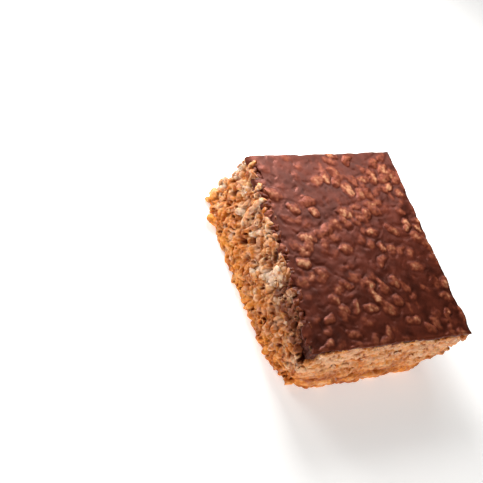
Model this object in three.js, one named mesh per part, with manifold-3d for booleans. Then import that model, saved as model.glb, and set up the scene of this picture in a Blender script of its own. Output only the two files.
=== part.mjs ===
// A crispy cake: a hand-cut block of puffed rice bound with caramel, under a poured layer of
// milk chocolate that has soaked down between the topmost grains.
// Units are millimetres, +Z is up, and the origin is at the middle of the base, on the table.
import * as THREE from "three";
import { mergeVertices } from "three/addons/utils/BufferGeometryUtils.js";
import Module from "manifold-3d";

// The cut block.
const cakeWidth = 62;
const cakeDepth = 72;
const cakeHeight = 22;
// How far each corner strays from a true rectangle, as x and y, counter-clockwise from front left.
const topStray = [[-1.2, -0.6], [-0.2, 0], [-1.8, 0], [2.7, 0.5]];
const baseStray = [[-1.7, -1], [-3.2, -0.6], [-1.8, -0.5], [-4.8, 0]];

// The chocolate layer.
const chocolateDepth = 6.4;
const chocolateInset = 0.5; // the poured chocolate stops this far inside the cut
const chocolateDish = 0.35; // the top sinks this much towards the middle
const seamWave = 0.9; // how far the seam under the chocolate rises and falls
const seamWaveLength = 36;
const seamClearance = 0.3;

// The caramel core under the grains.
const coreInset = 1.6;
const coreLump = 0.6; // how far its walls swell and sink between the grains
const coreLumpLength = 13;
const footInset = 1; // further inset at the very base, where the edge has crumbled
const footHeight = 5;

// One puffed grain, and how the grains are set out.
const grainLength = 6;
const grainWidth = 3.3;
const grainSpread = 0.15; // share by which sizes vary
const caramelPitch = { column: 6.3, row: 3.8 };
const chocolatePitch = { column: 7.8, row: 3.6 };
const topPitch = 7.6;
const jitter = 0.27; // share of a pitch by which places vary
const rowStagger = 0.22; // share of a pitch by which every other row is moved along
const cornerClearance = 1.5; // wall grains keep this far from the block's corners
const grainSink = { least: 0.14, most: 0.54 }; // a grain's middle behind the cut, as a share of its width
const grainTurn = 0.95; // most that a wall grain is turned from level, in radians
const grainTilt = 0.3; // most that it leans out of the wall, as a slope
const topGrainProud = { least: 0.5, most: 1 };
const topGrainTilt = 0.2;
const caramelSeed = 41;
const chocolateSeed = 77;

const wasm = await Module();
wasm.setup();

// Seeded draws, so that every build has the same cake.
function makeDraw(seed) {
  let state = seed >>> 0;
  return function draw(low, high) {
    state = (state + 0x6d2b79f5) >>> 0;
    let mixed = Math.imul(state ^ (state >>> 15), 1 | state);
    mixed = (mixed + Math.imul(mixed ^ (mixed >>> 7), 61 | mixed)) ^ mixed;
    const share = ((mixed ^ (mixed >>> 14)) >>> 0) / 2 ** 32;
    return low + (high - low) * share;
  };
}

// A corner of the block in plan, at a height given as a share of the cake's height.
function cornerAt(index, rise) {
  const right = index === 1 || index === 2;
  const back = index === 2 || index === 3;
  const corner = new THREE.Vector2(right ? 0.5 : -0.5, back ? 0.5 : -0.5);
  corner.multiply(new THREE.Vector2(cakeWidth, cakeDepth));
  const stray = new THREE.Vector2(...baseStray[index]).lerp(new THREE.Vector2(...topStray[index]), rise);
  return corner.add(stray);
}

// The point of the block at shares across, along and up, pulled in from all four walls by inset.
function blockPoint(across, along, rise, inset) {
  const front = cornerAt(0, rise).lerp(cornerAt(1, rise), across);
  const back = cornerAt(3, rise).lerp(cornerAt(2, rise), across);
  const point = front.lerp(back, along);
  point.x += inset * (1 - 2 * across);
  point.y += inset * (1 - 2 * along);
  return new THREE.Vector3(point.x, point.y, rise * cakeHeight);
}

// How far the crumbled foot is set in at a height.
function footAt(height) {
  const worn = Math.max(0, 1 - height / footHeight);
  return footInset * worn * worn;
}

// How far the top has sunk at shares across and along: nothing at the walls, all of the dish in the middle.
function dishAt(across, along) {
  return chocolateDish * 16 * across * (1 - across) * along * (1 - along);
}

// Height of the seam between caramel and chocolate.
function seamHeight(x, y) {
  const turnX = (2 * Math.PI * x) / seamWaveLength;
  const turnY = (2 * Math.PI * y) / seamWaveLength;
  return cakeHeight - chocolateDepth + seamWave * Math.sin(turnX + turnY / 3) * Math.cos(turnY - turnX / 4);
}

// A closed geometry as a solid, with its shared vertices merged.
function solidOf(geometry) {
  const bare = geometry.clone();
  bare.deleteAttribute("normal");
  bare.deleteAttribute("uv");
  const merged = mergeVertices(bare, 1e-4);
  return new wasm.Manifold(
    new wasm.Mesh({
      numProp: 3,
      vertProperties: new Float32Array(merged.attributes.position.array),
      triVerts: new Uint32Array(merged.index.array),
    }),
  );
}

// A solid's triangles as a geometry.
function geometryOf(solid) {
  const mesh = solid.getMesh();
  const points = new Float32Array(mesh.numVert * 3);
  for (let i = 0; i < mesh.numVert; i++) {
    points.set(mesh.vertProperties.subarray(i * mesh.numProp, i * mesh.numProp + 3), i * 3);
  }
  const geometry = new THREE.BufferGeometry();
  geometry.setAttribute("position", new THREE.BufferAttribute(points, 3));
  geometry.setIndex(new THREE.BufferAttribute(new Uint32Array(mesh.triVerts), 1));
  geometry.computeVertexNormals();
  return geometry;
}

// A box of segments with each vertex moved by place(across, along, rise), which take shares from 0 to 1.
function shapedBox(segments, place) {
  const box = new THREE.BoxGeometry(1, 1, 1, ...segments);
  const position = box.attributes.position;
  for (let i = 0; i < position.count; i++) {
    const point = place(position.getX(i) + 0.5, position.getY(i) + 0.5, position.getZ(i) + 0.5);
    position.setXYZ(i, point.x, point.y, point.z);
  }
  return solidOf(box);
}

// Everything from floor up to the seam, out past the walls, with the seam raised by lift.
function belowSeam(floor, lift) {
  const overhang = 10;
  return shapedBox([6, 7, 1], (across, along, rise) => {
    const x = (across - 0.5) * (cakeWidth + 2 * overhang);
    const y = (along - 0.5) * (cakeDepth + 2 * overhang);
    return new THREE.Vector3(x, y, rise < 0.5 ? floor : seamHeight(x, y) + lift);
  });
}

// The lumpy core that the grains are stuck to, narrower at the crumbled foot.
function makeCore() {
  return shapedBox([7, 8, 4], (across, along, rise) => {
    const inset = coreInset + footAt(rise * cakeHeight);
    const point = blockPoint(across, along, rise, inset);
    const swell = Math.sin((2 * Math.PI * (point.x + point.z)) / coreLumpLength);
    const sway = Math.cos((2 * Math.PI * (point.y - point.z)) / coreLumpLength);
    return blockPoint(across, along, rise, inset + coreLump * swell * sway);
  });
}

// The slab of chocolate, a little dished on top.
function makeChocolateSlab() {
  return shapedBox([4, 4, 1], (across, along, rise) => {
    const point = blockPoint(across, along, rise, chocolateInset);
    point.z -= dishAt(across, along) * rise;
    return point;
  });
}

// One puffed grain: a stretched icosahedron, laid along axis with its middle at centre, or lower where
// its upper side would stand above ceiling.
function makeGrain(draw, centre, axis, ceiling = Infinity) {
  const length = grainLength * draw(1 - grainSpread, 1 + grainSpread);
  const width = grainWidth * draw(1 - grainSpread, 1 + grainSpread);
  const halfRise = Math.hypot(length * axis.z, width * Math.sqrt(1 - axis.z ** 2)) / 2;
  const grain = new THREE.IcosahedronGeometry(0.5);
  grain.rotateY(draw(0, Math.PI));
  grain.scale(width, length, width * draw(1 - grainSpread, 1));
  grain.applyQuaternion(new THREE.Quaternion().setFromUnitVectors(new THREE.Vector3(0, 1, 0), axis));
  grain.translate(centre.x, centre.y, Math.min(centre.z, ceiling - halfRise));
  return solidOf(grain);
}

// Grains over one wall in jittered rows, between two heights. The wall runs from one corner to the next.
function wallGrains(draw, wall, pitch, lowest, highest) {
  const next = (wall + 1) % 4;
  const run = cornerAt(next, 0.5).sub(cornerAt(wall, 0.5));
  const along = new THREE.Vector3(run.x, run.y, 0).normalize();
  const outward = new THREE.Vector3(along.y, -along.x, 0);
  const up = new THREE.Vector3(0, 0, 1);
  const cornerShare = cornerClearance / run.length();
  const columns = Math.round(run.length() / pitch.column);
  const gaps = Math.max(1, Math.round((highest - lowest) / pitch.row));
  const grains = [];
  for (let row = 0; row <= gaps; row++) {
    const stagger = row % 2 ? rowStagger : -rowStagger;
    for (let column = 0; column < columns; column++) {
      const place = (column + 0.5 + stagger + draw(-jitter, jitter)) / columns;
      const share = THREE.MathUtils.lerp(cornerShare, 1 - cornerShare, place);
      const height = lowest + ((highest - lowest) * row) / gaps + pitch.row * draw(-jitter, jitter);
      const rise = THREE.MathUtils.clamp(height / cakeHeight, 0, 1);
      const plan = cornerAt(wall, rise).lerp(cornerAt(next, rise), share);
      const sink = grainWidth * draw(grainSink.least, grainSink.most) + footAt(height);
      const centre = new THREE.Vector3(plan.x, plan.y, height).addScaledVector(outward, -sink);
      const turn = draw(-grainTurn, grainTurn);
      const axis = along.clone().multiplyScalar(Math.cos(turn)).addScaledVector(up, Math.sin(turn));
      axis.addScaledVector(outward, draw(-grainTilt, grainTilt)).normalize();
      grains.push(makeGrain(draw, centre, axis, cakeHeight));
    }
  }
  return grains;
}

// Grains that lie just under the poured top and lift it in bumps.
function topGrains(draw) {
  const columns = Math.round(cakeWidth / topPitch);
  const rows = Math.round(cakeDepth / topPitch);
  const grains = [];
  for (let row = 0; row < rows; row++) {
    for (let column = 0; column < columns; column++) {
      const across = (column + 0.5 + draw(-jitter, jitter)) / columns;
      const along = (row + 0.5 + draw(-jitter, jitter)) / rows;
      const centre = blockPoint(across, along, 1, grainWidth / 2);
      const proud = draw(topGrainProud.least, topGrainProud.most);
      centre.z += proud - grainWidth / 2 - dishAt(across, along);
      const turn = draw(0, Math.PI);
      const tilt = draw(-topGrainTilt, topGrainTilt);
      const axis = new THREE.Vector3(Math.cos(turn), Math.sin(turn), tilt).normalize();
      grains.push(makeGrain(draw, centre, axis));
    }
  }
  return grains;
}

// The largest connected body of a solid: scraps that a cut has freed are dropped.
function mainBody(solid) {
  return solid.decompose().reduce((best, body) => (body.volume() > best.volume() ? body : best));
}

const walls = [0, 1, 2, 3];
const seamLevel = cakeHeight - chocolateDepth;

function makeRiceBase() {
  const draw = makeDraw(caramelSeed);
  const lowest = grainWidth / 2;
  const grains = walls.flatMap((wall) => wallGrains(draw, wall, caramelPitch, lowest, seamLevel));
  const whole = wasm.Manifold.union([makeCore(), ...grains]);
  return mainBody(whole.intersect(belowSeam(0, -seamClearance / 2)));
}

function makeChocolateTop() {
  const draw = makeDraw(chocolateSeed);
  const highest = cakeHeight - grainWidth / 2;
  const sides = walls.flatMap((wall) => wallGrains(draw, wall, chocolatePitch, seamLevel, highest));
  const whole = wasm.Manifold.union([makeChocolateSlab(), ...sides, ...topGrains(draw)]);
  return mainBody(whole.subtract(belowSeam(-cakeHeight, seamClearance / 2)));
}

const caramelRice = new THREE.MeshStandardMaterial({ color: 0xc98d56, roughness: 0.6, metalness: 0 });
const milkChocolate = new THREE.MeshStandardMaterial({ color: 0x6b3829, roughness: 0.4, metalness: 0 });

const cake = new THREE.Group();
const riceBase = new THREE.Mesh(geometryOf(makeRiceBase()), caramelRice);
riceBase.name = "rice_base";
const chocolateTop = new THREE.Mesh(geometryOf(makeChocolateTop()), milkChocolate);
chocolateTop.name = "chocolate_top";
cake.add(riceBase, chocolateTop);

// The origin goes under the middle of the whole cake.
const bounds = new THREE.Box3().setFromObject(cake, true);
const middle = bounds.getCenter(new THREE.Vector3());
for (const layer of cake.children) {
  layer.position.set(-middle.x, -middle.y, -bounds.min.z);
}

export default cake;
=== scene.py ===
import math

import bpy
import numpy as np
from mathutils import Matrix, Vector, noise


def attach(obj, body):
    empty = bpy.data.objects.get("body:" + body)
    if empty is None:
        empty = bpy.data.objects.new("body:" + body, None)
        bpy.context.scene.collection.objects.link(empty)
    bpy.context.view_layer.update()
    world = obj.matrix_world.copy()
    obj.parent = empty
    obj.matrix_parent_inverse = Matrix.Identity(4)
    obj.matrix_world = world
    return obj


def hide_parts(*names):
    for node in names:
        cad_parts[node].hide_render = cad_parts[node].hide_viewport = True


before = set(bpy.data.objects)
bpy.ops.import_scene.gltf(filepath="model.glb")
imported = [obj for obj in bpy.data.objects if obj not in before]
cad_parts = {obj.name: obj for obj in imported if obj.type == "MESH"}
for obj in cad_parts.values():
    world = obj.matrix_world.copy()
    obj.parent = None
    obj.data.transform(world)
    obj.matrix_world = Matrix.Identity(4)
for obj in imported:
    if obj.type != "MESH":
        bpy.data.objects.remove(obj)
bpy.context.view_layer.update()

mm = 0.001  # shapes are worked out in millimetres and stored in metres

# the hand-cut block: corners stray from a true rectangle, counter-clockwise from front left
block = {
    "width": 62.0,
    "depth": 72.0,
    "height": 22.0,
    "middle": (2.108, 0.155),
    "topStray": ((-1.2, 1.6), (-0.2, 0.2), (-1.8, 0.0), (2.7, 0.5)),
    "baseStray": ((-1.7, -1.0), (-3.2, -0.6), (-1.8, -0.5), (-4.8, 0.0)),
    "knifeWaves": ((0.07, 0.45, 3), (0.25, 0.3, 3)),  # per mm, reach, seed
    "footInset": 0.6,  # crumbled away at the very base
    "footHeight": 4.5,
    "wornCorners": ((0, 2.2), (1, 3.0)),  # both front corners have crumbled further at the foot
    "wornWithin": (10.0, 3.0),  # of the corner
    "wornBelow": (9.0, 4.0),
    "bellies": (1.9, 0.0, 0.0, 2.0),  # how far the walls swell towards their feet
    "bellyInside": (8.0, 3.0),  # how far in a swelling is felt
    "bellyBelow": (18.0, 6.0),
    "bellyEnds": 0.75,  # how roundly it dies out along the wall
}
frontWall, rightWall, backWall, leftWall = range(4)

# the seam where the chocolate has stopped soaking down
seam = {"height": 15.6, "wave": 0.9, "waveLength": 36.0}


def cornersOf(stray):
    halves = np.array([(-1, -1), (1, -1), (1, 1), (-1, 1)]) * (block["width"] / 2, block["depth"] / 2)
    return halves + np.array(stray) + np.array(block["middle"])


baseCorners = cornersOf(block["baseStray"])
topCorners = cornersOf(block["topStray"])


def smoothStep(low, high, values):
    share = np.clip((values - low) / (high - low), 0, 1)
    return share * share * (3 - 2 * share)


noiseShift = 13.7  # keeps the noises apart
domeEdge = 0.85  # where neighbouring domes meet, in cells
domeMiddle = 0.6  # their mean height


def noisePlaces(points, perMm, seed):
    return (points * perMm + noiseShift * seed).tolist()


def noiseAt(points, perMm, seed):
    return np.array([noise.noise(place) for place in noisePlaces(points, perMm, seed)])


def wavesAt(points, waves):
    # noises added up: per mm, reach and seed of each
    return sum(reach * noiseAt(points, perMm, seed) for perMm, reach, seed in waves)


def patchesAt(points, patches, seed):
    # soft patches of a noise: per mm, and the values between which they fade in
    perMm, span = patches
    return smoothStep(*span, noiseAt(points, perMm, seed))


def cellsAt(points, perMm, seed):
    # distance to the nearest cell's middle, counted in cells
    return np.array([noise.voronoi(place)[0][0] for place in noisePlaces(points, perMm, seed)])


def bubblesAt(points, perMm, seed):
    # domes packed side by side, 1 on their crests and 0 in the creases
    return np.sqrt(np.clip(1 - (cellsAt(points, perMm, seed) / domeEdge) ** 2, 0, 1))


def bubbleTints(points, perMm, seed):
    # a value between 0 and 1 for each of those domes
    middles = np.array([noise.voronoi(place)[1][0] for place in noisePlaces(points, perMm, seed)])
    return np.modf(np.abs(np.sin(middles @ (12.9, 78.2, 37.7)) * 4375.8))[0]


def wallsAt(heights):
    # corners and outward directions of the front, right, back and left walls
    rise = np.clip(heights / block["height"], 0, 1)[:, None, None]
    corners = baseCorners + (topCorners - baseCorners) * rise
    runs = np.roll(corners, -1, axis=1) - corners
    out = np.stack([runs[..., 1], -runs[..., 0]], axis=-1)
    return corners, out / np.linalg.norm(out, axis=-1, keepdims=True)


def outsideCut(points):
    # how far each point stands out of each of the four walls
    corners, out = wallsAt(points[:, 2])
    return ((points[:, None, :2] - corners) * out).sum(-1)


def knifeWander(points):
    # how far the cut wanders out of its plane
    wander = wavesAt(points, block["knifeWaves"])
    plan, height = points[:, :2], points[:, 2]
    foot = np.clip(1 - height / block["footHeight"], 0, 1)
    wander -= block["footInset"] * foot * foot
    for corner, reach in block["wornCorners"]:
        away = np.linalg.norm(plan - baseCorners[corner], axis=1)
        worn = reach * smoothStep(*block["wornWithin"], away)
        wander -= worn * smoothStep(*block["wornBelow"], height)
    for wall, reach in enumerate(block["bellies"]):
        run = baseCorners[(wall + 1) % 4] - baseCorners[wall]
        away = plan - baseCorners[wall]
        share = np.clip(away @ run / (run @ run), 0, 1)
        inside = away @ (-run[1], run[0]) / np.linalg.norm(run)
        swell = (4 * share * (1 - share)) ** block["bellyEnds"]
        swell *= smoothStep(*block["bellyInside"], inside)
        wander += reach * swell * smoothStep(*block["bellyBelow"], height)
    return wander


def seamAt(points):
    turnX = 2 * math.pi * (points[:, 0] - block["middle"][0]) / seam["waveLength"]
    turnY = 2 * math.pi * (points[:, 1] - block["middle"][1]) / seam["waveLength"]
    return seam["height"] + seam["wave"] * np.sin(turnX + turnY / 3) * np.cos(turnY - turnX / 4)


def scatter(draw, wide, high, gap, tries):
    # spots in a rectangle, none closer than gap
    spots = np.empty((0, 2))
    for spot in draw.uniform((0, 0), (wide, high), (tries, 2)):
        if not len(spots) or ((spots - spot) ** 2).sum(1).min() > gap * gap:
            spots = np.vstack([spots, spot])
    return spots


lump = {"squareness": 2.4, "fallsBeyond": 2.5}  # of its ends, and how steeply it falls past its edge


def lumpRadius(aside, rise, turn, half, width):
    # 0 in the middle of a grain that lies in a surface, 1 at its edge
    along = (aside * math.cos(turn) + rise * math.sin(turn)) / half
    across = (rise * math.cos(turn) - aside * math.sin(turn)) / width
    return np.sqrt(np.abs(along) ** lump["squareness"] + across ** 2)


def lumpDrop(radius):
    # how far its skin falls away from the crest
    dome = 1 - np.sqrt(np.clip(1 - radius ** 2, 0, 1))
    return np.where(radius < 1, dome, 1 + lump["fallsBeyond"] * (radius - 1))


def drape(under, over, film):
    # two surfaces that run softly together, and how much of the upper one shows
    share = np.clip(0.5 + 0.5 * (over - under) / film, 0, 1)
    return under + ((over - under) * share + film * share * (1 - share)), share


def addPiece(name, points, triangles, finish, values):
    mesh = bpy.data.meshes.new(name)
    mesh.from_pydata((points * mm).tolist(), [], triangles.tolist())
    mesh.polygons.foreach_set("use_smooth", np.ones(len(triangles), bool))
    for key, value in values.items():
        mesh.attributes.new(key, "FLOAT", "POINT").data.foreach_set("value", value.astype(np.float32))
    mesh.materials.append(finish)
    piece = bpy.data.objects.new(name, mesh)
    bpy.context.scene.collection.objects.link(piece)
    print(name, len(triangles), "triangles")
    return piece


# finishes

def shade(red, green, blue):
    # a colour read as screen values from 0 to 255
    channels = np.array([red, green, blue]) / 255
    return (*np.where(channels > 0.04045, ((channels + 0.055) / 1.055) ** 2.4, channels / 12.92), 1.0)


def newFinish(name):
    finish = bpy.data.materials.new(name)
    finish.use_nodes = True
    return finish, finish.node_tree, finish.node_tree.nodes["Principled BSDF"]


def setInputs(node, values):
    for key, value in values.items():
        node.inputs[key].default_value = value


def valueOf(tree, key):
    node = tree.nodes.new("ShaderNodeAttribute")
    node.attribute_name = key
    return node.outputs["Fac"]


def speckle(tree, perMm, detail):
    place = tree.nodes.new("ShaderNodeTexCoord")
    node = tree.nodes.new("ShaderNodeTexNoise")
    node.inputs["Scale"].default_value = perMm / mm
    node.inputs["Detail"].default_value = detail
    tree.links.new(place.outputs["Object"], node.inputs["Vector"])
    return node.outputs["Fac"]


def spread(tree, source, fromSpan, toSpan):
    node = tree.nodes.new("ShaderNodeMapRange")
    tree.links.new(source, node.inputs["Value"])
    for key, value in zip(("From Min", "From Max", "To Min", "To Max"), (*fromSpan, *toSpan)):
        node.inputs[key].default_value = value
    return node.outputs["Result"]


def ramp(tree, source, stops):
    node = tree.nodes.new("ShaderNodeValToRGB")
    tree.links.new(source, node.inputs["Fac"])
    while len(node.color_ramp.elements) < len(stops):
        node.color_ramp.elements.new(0.5)
    for element, (place, colour) in zip(node.color_ramp.elements, stops):
        element.position = place
        element.color = shade(*colour)
    return node.outputs["Color"]


def layOver(tree, share, under, over):
    # over covers under by share
    node = tree.nodes.new("ShaderNodeMix")
    node.data_type = "RGBA"
    tree.links.new(share, node.inputs["Factor"])
    for socket, value in ((node.inputs["A"], under), (node.inputs["B"], over)):
        if isinstance(value, tuple):
            socket.default_value = shade(*value)
        else:
            tree.links.new(value, socket)
    return node.outputs["Result"]


def addBump(tree, shader, height, strength, reach):
    node = tree.nodes.new("ShaderNodeBump")
    node.inputs["Strength"].default_value = strength
    node.inputs["Distance"].default_value = reach * mm
    tree.links.new(height, node.inputs["Height"])
    tree.links.new(node.outputs["Normal"], shader.inputs["Normal"])


riceColours = {
    "skin": (
        (0.0, (140, 60, 10)),
        (0.35, (182, 100, 36)),
        (0.6, (206, 144, 84)),
        (0.85, (222, 178, 134)),
        (1.0, (230, 202, 176)),
    ),
    "foam": (
        (0.33, (80, 34, 10)),
        (0.42, (158, 82, 28)),
        (0.52, (188, 114, 50)),
        (0.65, (218, 170, 112)),
    ),
    # smear: knife smear and dry crumb, and also the painted highlights of the tan specks on the left wall
    "smear": (212, 166, 132),
    # caramel held in the creases between blisters, and painted shade there
    "crease": (126, 50, 6),
    # painted highlight on the blister crests
    "crisp": (234, 202, 164),
    "glaze": (206, 120, 42),
    "sticky": (188, 100, 28),
    "syrup": (232, 150, 58),
    "crumb": ((0.0, (192, 116, 56)), (0.6, (200, 138, 88)), (1.0, (208, 172, 146))),
    # painted shade in pores, in the hollow ends of snapped grains and in the split and pockets of the
    # front cut; brown bands at its foot share it
    "pore": (118, 44, 4),
    # painted shade deep behind the cut, with caramel pooled in the gaps
    "deepShade": ((0.4, (132, 52, 6)), (1.0, (86, 30, 4))),
    "chocolate": (98, 42, 22),
}


# laid over the skin in turn: the colour, what it follows, from where to where, and its cover there
riceLayers = (
    ("foam", "tint", (0.85, 1.0), (0.3, 0.15)),
    ("sticky", "dry", (0.0, 0.8), (0.7, 0.0)),
    ("glaze", "patches", (0.48, 0.62), (0.0, 0.75)),
    ("syrup", "syrup", (0.0, 1.0), (0.0, 0.85)),
    # caramel and painted shade in the creases between blisters
    ("crease", "crest", (0.3, 0.85), (0.65, 0.0)),
    # painted highlight on the blister crests
    ("crisp", "crest", (0.8, 1.0), (0.0, 0.28)),
    ("crumb", "face", (0.0, 1.0), (0.0, 0.4)),
    # knife smear, dry crumb and painted highlights
    ("smear", "smear", (0.0, 1.0), (0.0, 1.0)),
    # painted shade in pores, hollows, the split and the pockets, and the brown bands
    ("pore", "pore", (0.1, 0.8), (0.0, 0.85)),
    # painted shade deeper behind the cut, with caramel pooled in the gaps
    ("deepShade", "sunkShade", (0.0, 0.7), (0.0, 0.95)),
    ("chocolate", "soak", (0.0, 1.0), (0.0, 1.0)),
)
riceSpeckles = {"foam": (1.15, 3.0), "patches": (0.3, 4.0), "shine": (0.8, 2.0)}  # per mm, detail
riceSurface = {
    "roughness": ((0.3, 0.7), (0.25, 0.55)),  # along the shine speckle
    "bump": (0.18, 0.6),  # strength, reach
    "inputs": {
        "Subsurface Weight": 0.5,
        "Subsurface Radius": (1.0, 0.62, 0.38),
        "Subsurface Scale": 1.5 * mm,
        "Specular IOR Level": 0.15,
    },
}


def riceFinish():
    finish, tree, shader = newFinish("puffed_rice")
    foam = speckle(tree, *riceSpeckles["foam"])
    rampedBy = {"foam": foam, "crumb": valueOf(tree, "dry"), "deepShade": valueOf(tree, "sunkShade")}
    colour = ramp(tree, valueOf(tree, "tint"), riceColours["skin"])
    for name, key, span, cover in riceLayers:
        follows = speckle(tree, *riceSpeckles[key]) if key in riceSpeckles else valueOf(tree, key)
        over = riceColours[name]
        if name in rampedBy:
            over = ramp(tree, rampedBy[name], over)
        colour = layOver(tree, spread(tree, follows, span, cover), colour, over)
    tree.links.new(colour, shader.inputs["Base Color"])
    shine = speckle(tree, *riceSpeckles["shine"])
    tree.links.new(spread(tree, shine, *riceSurface["roughness"]), shader.inputs["Roughness"])
    setInputs(shader, riceSurface["inputs"])
    addBump(tree, shader, foam, *riceSurface["bump"])
    return finish


caramelColours = {
    # painted shade: darker deeper behind the cut
    "body": ((0.0, (172, 86, 30)), (0.4, (120, 50, 14)), (1.0, (46, 17, 6))),
    "chocolate": (44, 19, 12),
}
caramelSurface = {
    "bumpSpeckle": (1.4, 3.0),  # per mm, detail
    "bump": (0.5, 0.3),  # strength, reach
    "inputs": {
        "Roughness": 0.4,
        "Specular IOR Level": 0.08,
        "Subsurface Weight": 0.1,
        "Subsurface Radius": (1.0, 0.45, 0.15),
        "Subsurface Scale": 1.0 * mm,
    },
}


def caramelFinish():
    finish, tree, shader = newFinish("caramel")
    body = ramp(tree, valueOf(tree, "sunkShade"), caramelColours["body"])
    colour = layOver(tree, valueOf(tree, "soak"), body, caramelColours["chocolate"])
    tree.links.new(colour, shader.inputs["Base Color"])
    setInputs(shader, caramelSurface["inputs"])
    addBump(tree, shader, speckle(tree, *caramelSurface["bumpSpeckle"]), *caramelSurface["bump"])
    return finish


chocolateColours = {
    "body": ((0.35, (50, 18, 10)), (0.65, (85, 37, 25))),
    "rice": (
        (0.08, (84, 34, 21)),
        (0.3, (102, 47, 30)),
        (0.6, (125, 68, 45)),
        (1.0, (174, 122, 88)),
    ),
    # painted shade in the dents, the hollows round the marks and down the sides
    "deepShade": (52, 21, 13),
    "sheen": (255, 142, 112),
}
chocolateSurface = {
    "clouds": (0.16, 3.0),  # per mm, detail
    "showsFrom": ((0.0, 0.35), (0.0, 1.0)),  # how bare, and how much of the rice colour
    "roughness": ((0.0, 0.8), (0.34, 0.5)),  # along how bare it is
    "shine": 0.41,
    "bumpSpeckle": (1.3, 3.0),
    "bump": (0.12, 0.15),  # strength, reach
}


def chocolateFinish():
    finish, tree, shader = newFinish("milk_chocolate")
    look = chocolateSurface
    body = ramp(tree, speckle(tree, *look["clouds"]), chocolateColours["body"])
    bare = valueOf(tree, "bare")
    rice = ramp(tree, bare, chocolateColours["rice"])
    colour = layOver(tree, spread(tree, bare, *look["showsFrom"]), body, rice)
    # painted shade in the dents, the hollows and down the sides
    colour = layOver(tree, valueOf(tree, "sunkShade"), colour, chocolateColours["deepShade"])
    tree.links.new(colour, shader.inputs["Base Color"])
    tree.links.new(spread(tree, bare, *look["roughness"]), shader.inputs["Roughness"])
    sheen = shade(*chocolateColours["sheen"])
    setInputs(shader, {"Specular IOR Level": look["shine"], "Specular Tint": sheen})
    addBump(tree, shader, speckle(tree, *look["bumpSpeckle"]), *look["bump"])
    return finish


# puffed grains

grain = {
    "length": 4.6,
    "width": 2.3,
    "thickness": 0.46,  # half of it, as a share of the width
    "ends": (2.3, 0.55),  # how blunt they are
    "sizeSpread": 0.22,
    "shapes": 14,
    "mesh": (23, 16),  # sides and rings
    "lobes": (0.5, 0.35),  # per mm, reach
    "lobeStretch": (1, 1, 0.6),
    "bubbles": 0.9,  # per mm
    "bubbleReach": 0.5,
    "crease": 0.2,
    "creaseWidth": 0.4,
    "lengthens": 0.4,  # share of the swelling that also lengthens it
    "bend": 0.5,
}


def grainShape(seed, sides, rings):
    # one puffed grain along z, with its ends as poles, and where its skin is raised
    turn = 2 * math.pi * np.arange(sides) / sides
    climb = -np.cos(math.pi * np.arange(1, rings) / rings)
    bluntness, fullness = grain["ends"]
    radius = (1 - np.abs(climb) ** bluntness) ** fullness
    rows = [radius[:, None] * np.cos(turn), radius[:, None] * np.sin(turn), climb[:, None]]
    grid = np.stack(np.broadcast_arrays(*rows), axis=-1)
    points = np.vstack([grid.reshape(-1, 3), (0, 0, -1), (0, 0, 1)])
    angle = np.arctan2(points[:, 1], points[:, 0])
    along = points[:, 2].copy()
    points = points * (grain["width"] / 2, grain["width"] * grain["thickness"], grain["length"] / 2)
    crest = bubblesAt(points, grain["bubbles"], seed + 40)
    tint = bubbleTints(points, grain["bubbles"], seed + 40)
    lobesPerMm, lobeReach = grain["lobes"]
    swell = 1 + lobeReach * noiseAt(points * grain["lobeStretch"], lobesPerMm, seed)
    swell += grain["bubbleReach"] * (crest - domeMiddle)
    swell -= grain["crease"] * np.exp(-((angle / grain["creaseWidth"]) ** 2)) * (1 - along ** 2)
    points[:, :2] *= swell[:, None]
    points[:, 2] *= 1 - grain["lengthens"] + grain["lengthens"] * swell
    points[:, 0] += grain["bend"] * (0.5 - along ** 2)
    return points, crest, tint


def grainTriangles(sides, rings):
    ring = np.arange(sides)
    nextRing = np.roll(ring, -1)
    low, high = (rings - 1) * sides, (rings - 1) * sides + 1
    faces = [np.stack([nextRing, ring, np.full(sides, low)], 1)]
    for step in range(rings - 2):
        a, b = ring + step * sides, nextRing + step * sides
        c, d = b + sides, a + sides
        faces += [np.stack([a, b, c], 1), np.stack([a, c, d], 1)]
    top = (rings - 2) * sides
    faces.append(np.stack([ring + top, nextRing + top, np.full(sides, high)], 1))
    return np.vstack(faces)


def turned(draw, axis):
    # a rotation that lays z along axis, rolled at random
    axis = axis / np.linalg.norm(axis)
    roll = draw.normal(size=3)
    side = np.cross(axis, roll)
    side /= np.linalg.norm(side)
    return np.stack([side, np.cross(axis, side), axis], axis=1)


def trimToCut(points, proud):
    # flattens what stands out of the cut by more than proud
    trimmed = points.copy()
    limit = proud + knifeWander(points)
    walls = wallsAt(points[:, 2])[1]
    rows = np.arange(len(points))
    total = np.zeros(len(points))
    out = walls[rows, outsideCut(points).argmax(1)]
    for _ in range(2):
        over = np.clip(outsideCut(trimmed) - limit[:, None], 0, None)
        amount = over.max(1)
        push = walls[rows, over.argmax(1)]
        trimmed[:, :2] -= push * amount[:, None]
        total = np.maximum(total, amount)
    return trimmed, total, out


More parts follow.
